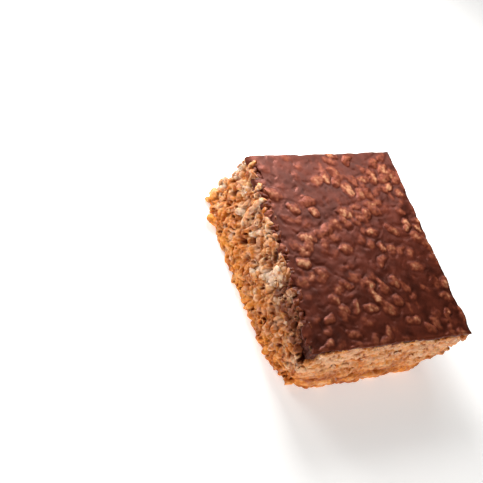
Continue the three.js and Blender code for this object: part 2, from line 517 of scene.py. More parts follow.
# how the knife left each wall
frontCut = {
    "crests": (-0.35, 0.1),  # of the pressed grains, out of the cut
    "bed": -0.7,  # bottom of the gaps between them
    "gap": 4.2,  # between loose grains
    "depth": (0.5, 1.4),  # of their middles
    "proud": (-0.2, 0.2),  # what the knife left standing of them
    "levelness": 0.3,
    "ceiling": 21.3,
    "soak": 0.2,
    "dry": 0.7,
    "syrup": 0.6,
}
roughCut = {
    "crests": (-1.4, 0.4),
    "bed": -2.2,
    "gap": 3.5,
    "depth": (0.2, 1.8),
    "proud": (-0.2, 0.8),
    "levelness": 0.6,
    "ceiling": 21.5,
    "soak": 0.9,
    "dry": 1.0,
    "syrup": 0.25,
}
leftCut = {
    "crests": (-0.9, 0.45),
    "bed": -1.3,
    "gap": 4.2,
    "depth": (0.4, 1.7),
    "proud": (-0.2, 0.8),
    "levelness": 0.6,
    "ceiling": 22.2,
    "soak": 0.8,
    "dry": 1.0,
    "syrup": 0.9,
}
wallCuts = (frontCut, roughCut, roughCut, leftCut)


def cutValue(key, wall):
    # one value of its cut for each point
    return np.array([cut[key] for cut in wallCuts])[wall]


# gaps where grains have fallen out: wall, share of its run, height, radius
gaps = (
    (frontWall, 0.03, 19.0, 3.2),
    (frontWall, 0.0, 22.0, 3.6),
    (leftWall, 1.0, 21.5, 3.0),
    (leftWall, 0.9, 20.6, 2.6),
    (leftWall, 0.95, 19.0, 3.0),
    (leftWall, 0.98, 16.4, 2.2),
    (leftWall, 0.344, 9.9, 1.0),
    (leftWall, 0.372, 13.1, 1.0),
    (leftWall, 0.108, 12.1, 1.0),
    (leftWall, 0.52, 19.5, 1.2),
    (leftWall, 0.68, 19.5, 1.4),
    (leftWall, 0.835, 18.2, 0.9),
    (rightWall, 0.3, 13.0, 1.4),
    (rightWall, 0.72, 7.5, 1.2),
    (backWall, 0.4, 10.0, 1.4),
    (backWall, 0.75, 15.0, 1.2),
)

# single grains that catch the eye on the left wall
loneGrains = (
    {"share": 0.585, "z": 19.4, "depth": 0.3, "lean": 0.1, "size": 1.3, "tint": 1.0},
    {"share": 0.506, "z": 9.7, "depth": 0.4, "lean": 0.2, "size": 1.1, "tint": 0.95},
    {"share": 0.15, "z": 2.2, "depth": -0.9, "lean": 0.3, "size": 1.15, "tint": 0.3},
)

wallRice = {
    "seed": 11,
    "tries": 7000,
    "floor": 0.02,
    "along": (0.02, 0.98),  # of a wall's run
    "tints": (0.0, 0.93),
    "loneShape": 3,
    "breakSlope": 0.25,  # how much a break leans away from the wall
    "breakReach": (-0.8, 0.4),
    "breakRagged": ((0.9, 0.35, 6),),  # per mm, reach, seed
    "brokenFrom": 0.3,  # a grain trimmed by more than this shows its crumb
    "faceFrom": (0.03, 0.2),
    "poreCells": 0.95,
    "poreSize": 0.36,
    "poreFade": 1.3,
    "poreDepth": 0.7,
    "hollowShare": 0.4,
    "hollowFrom": (0.25, 0.7),  # share of what is snapped off
    "hollowDepth": 1.3,
    "pointsOutward": 0.5,
    "gapClearance": 0.6,
    "clearFoot": 9.0,  # no loose grains low on the front cut
}

wallLengths = np.linalg.norm(np.roll(topCorners, -1, axis=0) - topCorners, axis=1)
wallStarts = np.concatenate([[0], np.cumsum(wallLengths)])  # along the way round the block


def wallSpot(wall, share, z, depth):
    corners, out = wallsAt(np.array([z]))
    start, end = corners[0, wall], corners[0, (wall + 1) % 4]
    plan = start + (end - start) * np.clip(share, *wallRice["along"])
    wander = knifeWander(np.array([(*plan, z)]))[0]
    return np.array((*(plan + out[0, wall] * (wander - depth)), z))


def breakGrain(draw, points, middle, axis, wall):
    # snaps off what stands out of the cut: the face has pores, a grain that points outward is hollow
    slopes = draw.normal(size=3) * wallRice["breakSlope"]
    proud = draw.uniform(*wallCuts[wall]["proud"])
    proud = proud + np.clip((points - middle) @ slopes, *wallRice["breakReach"])
    proud += wavesAt(points, wallRice["breakRagged"])
    broken, amount, out = trimToCut(points, proud)
    if amount.max() < wallRice["brokenFrom"]:
        return points, np.zeros(len(points)), np.zeros(len(points))
    face = smoothStep(*wallRice["faceFrom"], amount)
    cells = cellsAt(broken, wallRice["poreCells"], 5)
    # the pores are dented and also darkened with painted shade
    pore = np.clip(wallRice["poreFade"] - cells / wallRice["poreSize"], 0, 1) * face
    dent = pore * wallRice["poreDepth"]
    outward = abs((axis[:2] * wallsAt(middle[2:])[1][0, wall]).sum()) / np.linalg.norm(axis)
    if draw.uniform() < wallRice["hollowShare"] and outward > wallRice["pointsOutward"]:
        cup = smoothStep(*wallRice["hollowFrom"], amount / amount.max())
        dent = np.maximum(dent, cup * wallRice["hollowDepth"])
        # the hollow end takes the painted shade of the pores
        pore = np.maximum(pore, cup)
    broken[:, :2] -= out * dent[:, None]
    return broken, face, pore


tintMix = {"grain": 0.6, "blister": 0.4, "contrast": 1.8}


def mixTints(ofGrain, ofBlister):
    mixed = tintMix["grain"] * ofGrain + tintMix["blister"] * ofBlister
    return np.clip(0.5 + tintMix["contrast"] * (mixed - 0.5), 0, 1)


def makeWallRice():
    draw = np.random.default_rng(wallRice["seed"])
    shapes = [grainShape(seed, *grain["mesh"]) for seed in range(grain["shapes"])]
    kinds = {"whole": [], "broken": [], "cut": [], "soaked": []}

    def lay(shape, size, axis, middle, wall):
        points = shape * size @ turned(draw, axis).T + middle
        points[:, 2] += max(wallRice["floor"] - points[:, 2].min(), 0)
        points[:, 2] -= max(points[:, 2].max() - wallCuts[wall]["ceiling"], 0)
        return points

    def spotsOn(wall, gap):
        spots = scatter(draw, wallLengths[wall], block["height"], gap, wallRice["tries"])
        for gapWall, share, z, radius in gaps:
            if gapWall == wall:
                away = np.hypot(spots[:, 0] - share * wallLengths[wall], spots[:, 1] - z)
                spots = spots[away > radius + wallRice["gapClearance"]]
        if wall == frontWall:
            spots = spots[spots[:, 1] > wallRice["clearFoot"]]
        return spots

    def setGrain(wall, middle, axis, tint):
        size = draw.uniform(1 - grain["sizeSpread"], 1 + grain["sizeSpread"], 3)
        shape, crest, blister = shapes[draw.integers(grain["shapes"])]
        points = lay(shape, size, axis, middle, wall)
        points, face, pore = breakGrain(draw, points, middle, axis, wall)
        kind = "whole"
        if middle[2] > seamAt(middle[None])[0]:
            kind = "soaked"
        elif face.any():
            kind = "cut" if wall == frontWall else "broken"
        kinds[kind].append((points, crest, face, pore, mixTints(tint, blister)))

    for lone in loneGrains:
        middle = wallSpot(leftWall, lone["share"], lone["z"], lone["depth"])
        along = wallSpot(leftWall, 1.0, lone["z"], 0) - wallSpot(leftWall, 0.0, lone["z"], 0)
        axis = along / np.linalg.norm(along) + (0, 0, lone["lean"])
        shape, crest, _ = shapes[wallRice["loneShape"]]
        points = lay(shape, lone["size"], axis, middle, leftWall)
        plain = np.zeros(len(points))
        kinds["whole"].append((points, crest, plain, plain, np.full(len(points), lone["tint"])))
    for wall, cut in enumerate(wallCuts):
        for x, z in spotsOn(wall, cut["gap"]):
            middle = wallSpot(wall, x / wallLengths[wall], z, draw.uniform(*cut["depth"]))
            axis = draw.normal(size=3) * (1, 1, cut["levelness"])
            setGrain(wall, middle, axis, draw.uniform(*wallRice["tints"]))
    return kinds


# how the colours lie on the walls: heights and reaches in mm, waves as per mm, strength and seed
wallLook = {
    # painted shade that deepens behind the cut and fades out near the top
    "sunkBy": (1.1, 3.2),
    "sunkBelow": (21.5, 19.0),
    "patches": ((0.24, 0.95, 14),),
    "soakAbove": (-0.6, 1.0),  # of the seam
    "soakRagged": ((0.35, 1.6, 9),),
    "soakOnFaces": 0.25,
    "soakTints": (0.1, 0.45),  # dark grains take it up
    "frontHalf": (10, -16),  # y where the chocolate has soaked deeper into the left wall
    "soakDeeper": (1.9, 0.12, 0.15),  # by height, by tint, and what is left at the back
    "dryUpTo": 16.0,
    "dryRagged": ((0.12, 5.0, 8),),
    "frontSkin": (-1.2, -0.3),  # how deep the front cut is smeared
    "frontCrest": 0.8,
    "frontFoot": (10, 3),
    "beds": (0.3, 0.9),  # level beds of rice in the front cut: per mm, strength
    "bedStretch": (0.4, 0.4, 1.0),
    "bedTint": 0.6,
    "footBeds": (0.6, 0.4),  # at the foot they are stronger and darker
    "bedCover": 0.7,
    "brown": 0.55,
    "brownBelow": (12, 6),
    "brownBeds": (-0.1, 0.3),
    "frontPores": 0.4,
    "smear": (0.05, 0.7),  # at the foot and added at the top
    "smearAbove": (6, 17),
    "streaks": (0.3, (-0.3, 0.3)),
    "streakStretch": (0.5, 0.5, 2.2),
    "pale": 0.5,  # dry crumb high on the left wall
    "paleAbove": (8, 15),
    "palePatches": (0.4, (-0.1, 0.35)),
    "paleAtFront": 0.4,
    # painted highlights: pale tan specks on the front half of the left wall
    "tanHighlight": 0.55,  # and on its front half
    "tanAbove": (2, 7),
    "tanPatches": (0.3, (0.05, 0.4)),
    # painted light: cream along the upright back edge and on the wall beside it, as if lit from behind
    "backEdgeLight": ((0.88, (4.5, 1.5)), (0.75, (26, 6))),  # the upright back edge, the wall beside it
    "syrupBelow": (10, 2),
    "syrupPatches": (0.22, (-0.3, 0.2)),
    "syrupAlong": (-36, -22),  # y where it starts on the left wall
}


def riceValues(points, crest, face, pore, tint, inward=0.0):
    # what the rice finish reads at each point
    look = wallLook
    outside = outsideCut(points)
    y, z = points[:, 1], points[:, 2]
    wall = outside.argmax(1)
    left = wall == leftWall
    # painted shade deeper behind the cut, with caramel pooled in the gaps
    sunkShade = smoothStep(*look["sunkBy"], knifeWander(points) - outside.max(1) - inward)
    sunkShade *= smoothStep(*look["sunkBelow"], z)
    tint = np.clip(tint + wavesAt(points, look["patches"]), 0, 1)

    towardsFront = np.where(left, smoothStep(*look["frontHalf"], y), 1.0)
    deeper = towardsFront * left
    byHeight, byTint, atBack = look["soakDeeper"]
    overSeam = z - seamAt(points) + wavesAt(points, look["soakRagged"]) + byHeight * deeper
    soak = smoothStep(*look["soakAbove"], overSeam) * (1 - (1 - look["soakOnFaces"]) * face)
    soak *= smoothStep(*look["soakTints"], 1 - tint + byTint * deeper)
    soak *= cutValue("soak", wall) * (atBack + (1 - atBack) * towardsFront)
    dry = smoothStep(0.0, look["dryUpTo"], z + wavesAt(points, look["dryRagged"]))
    dry = np.minimum(dry, cutValue("dry", wall))

    # the knife has smeared the upper part of the front cut, and its foot is brown in places
    front = smoothStep(*look["frontSkin"], outside[:, frontWall] - knifeWander(points))
    crest = np.maximum(crest, look["frontCrest"] * front)
    low = smoothStep(*look["frontFoot"], z)
    perMm, strength = look["beds"]
    stronger, darker = look["footBeds"]
    beds = noiseAt(points * look["bedStretch"], perMm, 15)
    strata = look["bedTint"] + (strength + stronger * low) * beds - darker * low
    tint = np.clip(tint + (strata - tint) * look["bedCover"] * front, 0, 1)
    brown = look["brown"] * (wall == frontWall) * smoothStep(*look["brownBelow"], z)
    brown *= smoothStep(*look["brownBeds"], -beds)
    pore = np.maximum(pore * (1 - (1 - look["frontPores"]) * front), brown)
    streaks = patchesAt(points * look["streakStretch"], look["streaks"], 12)
    atFoot, above = look["smear"]
    smear = front * (atFoot + above * smoothStep(*look["smearAbove"], z)) * streaks

    # the left wall is pale high up, with painted highlights as tan specks towards the front, and painted
    # light in cream along its back edge and the wall beside it
    pale = look["pale"] * smoothStep(*look["paleAbove"], z)
    pale *= patchesAt(points, look["palePatches"], 16)
    smear = np.maximum(smear, pale * (1 - (1 - look["paleAtFront"]) * towardsFront) * left)
    # the pale tan specks on the front half are painted highlights
    tanHighlight = look["tanHighlight"] * smoothStep(*look["tanAbove"], z)
    tanHighlight *= patchesAt(points, look["tanPatches"], 17)
    smear = np.maximum(smear, tanHighlight * deeper)
    # painted light in cream along the back edge, as if lit from behind
    edge = np.linalg.norm(points[:, :2] - wallsAt(z)[0][:, leftWall], axis=1)
    (onEdge, edgeSpan), (beside, besideSpan) = look["backEdgeLight"]
    backEdgeLight = beside * smoothStep(*besideSpan, edge) * tint
    backEdgeLight = np.maximum(onEdge * smoothStep(*edgeSpan, edge), backEdgeLight)
    tint, dry = np.maximum(tint, backEdgeLight), np.maximum(dry, backEdgeLight)

    # syrup has run down to the feet
    syrup = smoothStep(*look["syrupBelow"], z) * patchesAt(points, look["syrupPatches"], 13)
    syrup *= cutValue("syrup", wall) * np.where(left, smoothStep(*look["syrupAlong"], y), 1.0)
    values = {"tint": tint, "crest": crest, "face": face, "pore": pore}
    values.update({"sunkShade": sunkShade, "soak": soak, "dry": dry, "smear": smear, "syrup": syrup})
    return values


def joinGrains(name, grains, finish):
    count = len(grains[0][0])
    points, *parts = (np.concatenate(part) for part in zip(*grains))
    triangles = grainTriangles(*grain["mesh"])
    faces = np.vstack([triangles + count * i for i in range(len(grains))])
    return addPiece(name, points, faces, finish, riceValues(points, *parts))


riceKinds = makeWallRice()
puffedRice = riceFinish()
ricePieces = {kind: joinGrains(kind + "_rice", grains, puffedRice) for kind, grains in riceKinds.items()}
print("loose rice", {kind: len(grains) for kind, grains in riceKinds.items()})

# the walls themselves: grains pressed together, cut and blistered

crumb = {
    "seed": 47,
    "tries": 18000,
    "step": 0.27,
    "ceiling": 0.3,  # below the loose grains' ceiling
    "grainGap": 1.7,
    "grainLength": 3.6,
    "lengths": (0.6, 1.15),
    "grainWidth": 2.0,
    "widths": (0.75, 1.2),
    "tilt": 1.5,
    "tints": (0.0, 0.97),
    "bedTint": 0.3,
    "wobble": (0.5, 0.7),  # per mm, reach
    "dome": 0.75,
    "near": 1.5,  # a grain is felt this far past its ends
    "film": 0.42,  # how softly grains run together
    "gapDepth": 3.2,
    "gapEdge": 0.6,
    "blisters": ((0.66, 0.65), (1.5, 0.14)),  # per mm, reach
    "blisterCrests": (0.6, 0.4),
    "poreCells": 0.4,
    "poreSize": (0.27, 0.12),
    "poreDepth": 1.1,
    "frontRelief": 0.35,  # the knife has flattened the front cut
    "cornerRound": 7.0,
    "cornerPull": 0.8,
    "rimRound": 1.3,
    "rimReach": (-1.6, 0.5),
    "rimLift": 0.8,
    "tuck": 3.6,  # how far the rim runs in under the chocolate
    "coatOver": (0.4, 2.2),  # chocolate has run over the rim
    "coatRagged": ((0.2, 2.4, 48), (0.6, 0.8, 50)),  # per mm, reach, seed
    "coatedCorner": ((7.0, 5.0), (18.5, 20.5)),  # within, above
}

# one line along which the front cut has split, and the pockets at its foot, both darkened with painted
# shade
split = {
    "height": 5.5,
    "wander": ((0.14, 1.6, 49),),  # per mm, reach, seed
    "width": 0.9,
    "depth": 1.0,
    "run": 28.0,
    "reach": 15.0,
    "paintedShade": 0.75,
}
pockets = {
    "patches": (0.3, (0.12, 0.4)),
    "stretch": (0.7, 1, 1),
    "below": (11.0, 6.0),
    "depth": 0.5,
    "paintedShade": 0.5,
}


def pressedGrains(draw, run, z, wall):
    # how far the pressed grains reach out of the cut, each one's tint, and the painted shade in the split
    # and the pockets
    length, high = wallLengths.sum(), block["height"] + crumb["tuck"]
    place = np.column_stack([run, z, 7.0 * wall])
    perMm, wobbleReach = crumb["wobble"]
    wobble = np.stack([noiseAt(place, perMm, seed) for seed in (41, 42)], 1) * wobbleReach
    reach = cutValue("bed", wall)
    tint = np.full(len(run), crumb["bedTint"])
    for x, y in scatter(draw, length, high, crumb["grainGap"], crumb["tries"]):
        cut = wallCuts[min(np.searchsorted(wallStarts, x, "right") - 1, leftWall)]
        turn = draw.normal() * cut["levelness"] * crumb["tilt"]
        half = crumb["grainLength"] * draw.uniform(*crumb["lengths"]) / 2
        width = crumb["grainWidth"] * draw.uniform(*crumb["widths"]) / 2
        crest = draw.uniform(*cut["crests"])
        own = draw.uniform(*crumb["tints"])
        aside = (run - x + length / 2) % length - length / 2
        felt = half + crumb["near"]
        near = np.flatnonzero((np.abs(aside) < felt) & (np.abs(z - y) < felt))
        aside = aside[near] + wobble[near, 0]
        radius = lumpRadius(aside, z[near] - y + wobble[near, 1], turn, half, width)
        surface = crest - width * crumb["dome"] * lumpDrop(radius)
        reach[near], share = drape(reach[near], surface, crumb["film"])
        tint[near] += (own - tint[near]) * share
    for onWall, share, y, radius in gaps:
        away = np.hypot(run - wallStarts[onWall] - share * wallLengths[onWall], z - y)
        soft = crumb["gapEdge"]
        reach -= crumb["gapDepth"] * smoothStep(radius + soft, radius - soft, away)
    away = (z - split["height"] - wavesAt(place, split["wander"])) / split["width"]
    parted = np.exp(-(away ** 2))
    parted *= smoothStep(split["reach"], split["reach"] / 2, np.abs(run - split["run"]))
    pocket = patchesAt(place * pockets["stretch"], pockets["patches"], 51)
    pocket *= smoothStep(*pockets["below"], z) * (wall == frontWall)
    reach -= split["depth"] * parted
    reach -= pockets["depth"] * pocket
    return reach, tint, np.maximum(split["paintedShade"] * parted, pockets["paintedShade"] * pocket)


def makeCrumbWalls(finish):
    draw = np.random.default_rng(crumb["seed"])
    counts = np.round(wallLengths / crumb["step"]).astype(int)
    wall = np.repeat(np.arange(4), counts)
    share = np.concatenate([np.arange(count) / count for count in counts])
    run = wallStarts[wall] + share * wallLengths[wall]
    ceilings = np.array([cut["ceiling"] for cut in wallCuts]) - crumb["ceiling"]
    middles = np.cumsum(wallLengths) - wallLengths / 2
    ceiling = np.interp(run, middles, ceilings, period=wallLengths.sum())
    columns = len(run)

    # rows climb the wall, turn over its rim and run inward under the chocolate
    step, rimRound = crumb["step"], crumb["rimRound"]
    climb = np.arange(0, block["height"] - rimRound, step) / (block["height"] - rimRound)
    bend = np.arange(0, math.pi / 2, step / rimRound)
    tuck = np.arange(rimRound, crumb["tuck"], step)
    straight, level = np.zeros(len(climb)), np.ones(len(tuck))
    climb = np.concatenate([climb, np.ones(len(bend) + len(tuck))])
    tilt = np.concatenate([straight, np.sin(bend), level])
    inward = np.concatenate([straight, rimRound * (1 - np.cos(bend)), tuck])
    turn = np.concatenate([straight, rimRound * bend, rimRound * math.pi / 2 + tuck - rimRound])
    upright = climb[:, None] * (ceiling - rimRound)
    z = (upright + rimRound * tilt[:, None]).ravel()
    along = (upright + turn[:, None]).ravel()  # up the wall and over the rim
    tilt, inward = np.repeat(tilt, columns), np.repeat(inward, columns)
    wall, share, run = (np.tile(part, len(climb)) for part in (wall, share, run))
    rows = np.arange(len(z))
    corners, out = wallsAt(z)
    start, end = corners[rows, wall], corners[rows, (wall + 1) % 4]
    plan = start + (end - start) * share[:, None]
    toStart = np.clip(1 - share * wallLengths[wall] / crumb["cornerRound"], 0, 1)
    toEnd = np.clip(1 - (1 - share) * wallLengths[wall] / crumb["cornerRound"], 0, 1)
    outward = out[rows, wall] * (1 - toStart / 2 - toEnd / 2)[:, None]
    neighbours = out[rows, wall - 1] * toStart[:, None] / 2
    neighbours += out[rows, (wall + 1) % 4] * toEnd[:, None] / 2
    outward += neighbours
    outward /= np.linalg.norm(outward, axis=1, keepdims=True)

    bare = np.column_stack([plan, z])
    reach, tint, parted = pressedGrains(draw, run, along, wall)
    blisters = [bubblesAt(bare, perMm, 43 + i) for i, (perMm, _) in enumerate(crumb["blisters"])]
    relief = sum(size * (dome - domeMiddle) for dome, (_, size) in zip(blisters, crumb["blisters"]))
    # the pores are dented and also darkened with painted shade
    pore = smoothStep(*crumb["poreSize"], cellsAt(bare, crumb["poreCells"], 46)) * (1 - tilt)
    relief -= crumb["poreDepth"] * pore
    reach += relief * np.where(wall == frontWall, crumb["frontRelief"], 1.0)
    reach = np.where(tilt > 0, np.clip(reach, *crumb["rimReach"]), reach)
    pull = crumb["cornerPull"] * np.maximum(toStart, toEnd) ** 2 + inward
    points = bare.copy()
    points[:, :2] += outward * (knifeWander(bare) - pull + reach * np.sqrt(1 - tilt ** 2))[:, None]
    points[:, 2] = np.maximum(points[:, 2] + crumb["rimLift"] * reach * tilt, wallRice["floor"])
    crest = sum(share * dome for share, dome in zip(crumb["blisterCrests"], blisters))
    tint = mixTints(tint, bubbleTints(bare, crumb["blisters"][0][0], 43))
    values = riceValues(points, crest, np.zeros(len(points)), pore, tint, inward)
    overRim = along - np.tile(ceiling, len(climb)) + rimRound
    overRim = overRim + wavesAt(bare, crumb["coatRagged"])
    corner = np.linalg.norm(points[:, :2] - topCorners[0], axis=1)
    within, above = crumb["coatedCorner"]
    coated = np.maximum(
        smoothStep(*crumb["coatOver"], overRim),
        smoothStep(*within, corner) * smoothStep(*above, points[:, 2]),
    )
    values["soak"] = np.maximum(values["soak"], coated)
    # the split and the pockets take the painted shade of the pores
    values["pore"] = np.maximum(values["pore"], parted)

    # the ring closes on the inside
    floorRow = points[:columns] - np.column_stack([outward[:columns] * crumb["tuck"], np.zeros(columns)])
    floorRow[:, 2] = wallRice["floor"]
    points = np.vstack([points, floorRow])
    values = {key: np.concatenate([value, value[:columns]]) for key, value in values.items()}
    grid = np.arange(len(points)).reshape(-1, columns)
    a, b = grid.ravel(), np.roll(grid, -1, axis=1).ravel()
    c, d = np.roll(grid, (-1, -1), axis=(0, 1)).ravel(), np.roll(grid, -1, axis=0).ravel()
    faces = np.vstack([np.stack([a, b, c], 1), np.stack([a, c, d], 1)])
    return addPiece("pressed_rice", points, faces, finish, values)


ricePieces["pressed"] = makeCrumbWalls(puffedRice)

# the caramel inside, with grains on its base

core = {
    "seed": 31,
    "inset": 2.6,
    "bottom": 0.9,
    "top": 18.5,
    "baseGap": 3.7,
    "baseTries": 6000,
    "baseTilt": 0.25,
    "baseLift": 0.75,
    "baseHalf": 0.5,  # a grain is also lifted by this share of its lower half
    "baseInside": -0.5,  # of the cut
    "baseShape": 2,
    "baseMesh": (14, 12),
    "voxel": 0.65,
    "smoothing": 3,
    "trim": -0.5,
    # the caramel's painted shade deepens over these depths behind the cut
    "sunkBy": (0.4, 2.6),
    "soakAbove": (-0.4, 0.8),  # of the seam
    "soakRagged": ((0.35, 1.2, 9),),  # per mm, reach, seed
}


def coreBox():
    points = []
    for height in (core["bottom"], core["top"]):
        corners = wallsAt(np.array([height]))[0][0]
        pulled = corners + np.sign(corners.mean(0) - corners) * core["inset"]
        points += [(*p, height) for p in pulled]
    faces = [(0, 3, 2, 1), (4, 5, 6, 7)] + [(i, (i + 1) % 4, 4 + (i + 1) % 4, 4 + i) for i in range(4)]
    triangles = [t for a, b, c, d in faces for t in ((a, b, c), (a, c, d))]
    return np.array(points), np.array(triangles)


def baseGrains(draw, shape):
    grains = []
    for x, y in scatter(draw, block["width"], block["depth"], core["baseGap"], core["baseTries"]):
        plan = np.array([x - block["width"] / 2, y - block["depth"] / 2]) + block["middle"]
        axis = draw.normal(size=3) * (1, 1, core["baseTilt"])
        points = shape @ turned(draw, axis).T
        points += (*plan, core["baseLift"] - points[:, 2].min() * core["baseHalf"])
        if outsideCut(points).max() < core["baseInside"]:
            grains.append(points)
    return grains


def makeCaramel(finish):
    draw = np.random.default_rng(core["seed"])
    baseFaces = grainTriangles(*core["baseMesh"])
    shape = grainShape(core["baseShape"], *core["baseMesh"])[0]
    parts = [coreBox()] + [(points, baseFaces) for points in baseGrains(draw, shape)]
    offset = 0
    allPoints, allFaces = [], []
    for points, faces in parts:
        allPoints.append(points)
        allFaces.append(faces + offset)
        offset += len(points)
    mesh = bpy.data.meshes.new("bound")
    mesh.from_pydata((np.vstack(allPoints) * mm).tolist(), [], np.vstack(allFaces).tolist())
    bound = bpy.data.objects.new("bound", mesh)
    bpy.context.scene.collection.objects.link(bound)
    fuse = bound.modifiers.new("fuse", "REMESH")
    fuse.mode = "VOXEL"
    fuse.voxel_size = core["voxel"] * mm
    soften = bound.modifiers.new("soften", "SMOOTH")
    soften.iterations = core["smoothing"]
    evaluated = bound.evaluated_get(bpy.context.evaluated_depsgraph_get())
    fusedMesh = bpy.data.meshes.new_from_object(evaluated)
    points = np.empty(len(fusedMesh.vertices) * 3)
    fusedMesh.vertices.foreach_get("co", points)
    points = points.reshape(-1, 3) / mm
    fusedMesh.calc_loop_triangles()
    faces = np.empty(len(fusedMesh.loop_triangles) * 3, np.int32)
    fusedMesh.loop_triangles.foreach_get("vertices", faces)
    bpy.data.objects.remove(bound)
    bpy.data.meshes.remove(mesh)
    bpy.data.meshes.remove(fusedMesh)
    points[:, 2] = np.clip(points[:, 2], 0, None)
    points = trimToCut(points, np.full(len(points), core["trim"]))[0]
    # painted shade deeper behind the cut
    sunkShade = smoothStep(*core["sunkBy"], knifeWander(points) - outsideCut(points).max(1))
    overSeam = points[:, 2] - seamAt(points) + wavesAt(points, core["soakRagged"])
    soak = smoothStep(*core["soakAbove"], overSeam)
    return addPiece("caramel_core", points, faces.reshape(-1, 3), finish, {"sunkShade": sunkShade, "soak": soak})


caramelCore = makeCaramel(caramelFinish())

# the poured chocolate

chocolate = {
    "seed": 23,
    "step": 0.3,
    "level": 21.7,
    "insets": (0.3, -0.4, -0.5, 0.3),  # of its edges from the four walls
    "rimRounds": (0.7, 0.7, 0.7, 2.8),
    "rimDrops": (0.35, 0.3, 0.3, 0.8),
    "chips": (0.5, 0.3, 0.2, 4.5),  # how far the edges are chipped
    "chipRagged": ((0.16, 1.0, 29), (0.4, 0.6, 30), (0.9, 0.4, 34)),  # per mm, reach, seed
    "chipMost": 0.6,
    "chipBlend": (0.6, -3.0),  # how the chips of two edges meet
    "wanderWithin": (4.0, 0.0),  # of the edges
    "swells": ((0.05, 0.25, 21), (0.2, 0.14, 21), (0.45, 0.1, 21)),  # per mm, reach, seed
    "dents": (0.42, (0.15, 0.6)),
    "dentDepth": 0.14,
    "grainGap": 3.1,
    "tries": 9000,
    "grainLength": 7.2,
    "lengths": (0.65, 1.15),
    "grainWidth": 4.3,
    "widths": (0.75, 1.2),
    "grainTop": (-0.8, 0.5),  # crest above the level
    "grainDome": 0.5,
    "cluster": (0.09, 0.15),  # per mm, reach
    "wobble": (0.35, 0.9),  # per mm, reach
    "bubbles": 0.6,
    "bubbleReach": 0.28,
    "near": 2.0,  # a grain is felt this far past its ends
    "film": 0.42,  # how softly the film drapes
    "thinFrom": (-0.45, 0.25),  # heights where the film thins
    "thinShows": 0.3,
    "thinEdge": (0.26, (2.4, 0.3)),  # it is thin along the front edge
    "bareFrom": (-0.4, 0.35),  # crests from which rice shows
    "shows": (0.2, 0.5),  # how bare a grain is at least, and at most beyond that
    # the film hides more rice towards the front, as painted shade for the darker front of the top
    "frontFilmShade": (0.55, (24.0, 6.0)),  # how much of that the film hides at the front
    "backFilm": (0.35, (25.0, 65.0)),  # and at the back
    "markEdge": (1.05, 0.0),  # out to this share of the grain
    "markRagged": ((0.6, 0.7, 32), (1.3, 0.6, 33)),  # per mm, reach, seed
    "raggedness": (0.5, 0.85, 0.3),  # of the marks' edges, their cover and the hollows round them
    "hollows": 0.1,
    "hollowRing": (0.8, 1.1, 1.6),  # shares of the grain
    "hollowFrom": 0.5,  # a grain this bare has a full one
    # the dents and the hollows round the marks are darkened with painted shade
    "paintedShade": (0.15, 0.45),  # how dark the dents and the hollows are
    "placedTop": 0.25,
    "placedWidth": 0.58,  # of its length
    "placedClear": 2.4,  # no scattered grain closer than this
    "skirt": 7.2,  # how far down the sides go
    "skirtRows": 22,
    "skirtInset": 1.3,
    "skirtPits": 0.9,
    "pitWaves": ((0.45, 0.75, 26), (1.1, 0.35, 27)),  # per mm, reach, seed
    "pitSpan": (0.45, 1.3),  # mean and most
    "skirtEase": (0.08, 0.25),
    "easeRagged": ((0.3, 0.1, 28),),  # per mm, reach, seed
    "skirtTuck": (2.5, (0.7, 1.0)),  # it ends further in
    # painted shade darkens the sides as they go down
    "skirtDark": (0.1, 0.5),
}

# the rice that shows through most: x, y, turn in degrees, length, how bare
placedMarks = (
    (7, 36, 165, 5, 0.36),
    (1, 27, 85, 6, 0.61),
    (16, 26, 0, 6, 0.43),
    (8, 22, 100, 8, 0.58),
    (25, 22, 35, 6, 0.5),
    (29, 19, 145, 6, 0.43),
    (3, 13, 175, 8, 0.61),
    (14, 16, 160, 6, 0.43),
    (-9, 14, 130, 5, 0.36),
    (-15, 5, 0, 8, 0.65),
    (10, 5, 0, 7, 0.5),
    (12, -1, 100, 6, 0.47),
    (30, 5, 135, 5, 0.9),
    (-8, -13, 150, 6, 0.43),
    (1, -14, 90, 7, 0.54),
    (-15, -8, 150, 7, 0.32),
    (-2, -22, 0, 6, 0.47),
    (-12, -21, 140, 5, 0.4),
    (12, -28, 0, 6, 0.36),
    (27, -27, 60, 5, 0.3),
    (1, -31, 80, 5, 0.3),
    (-12, -30, 150, 6, 0.22),
    (-22, -32, 30, 5, 0.25),
    (26, -33, 120, 5, 0.25),
    (-19, -24, 40, 5, 0.2),
)


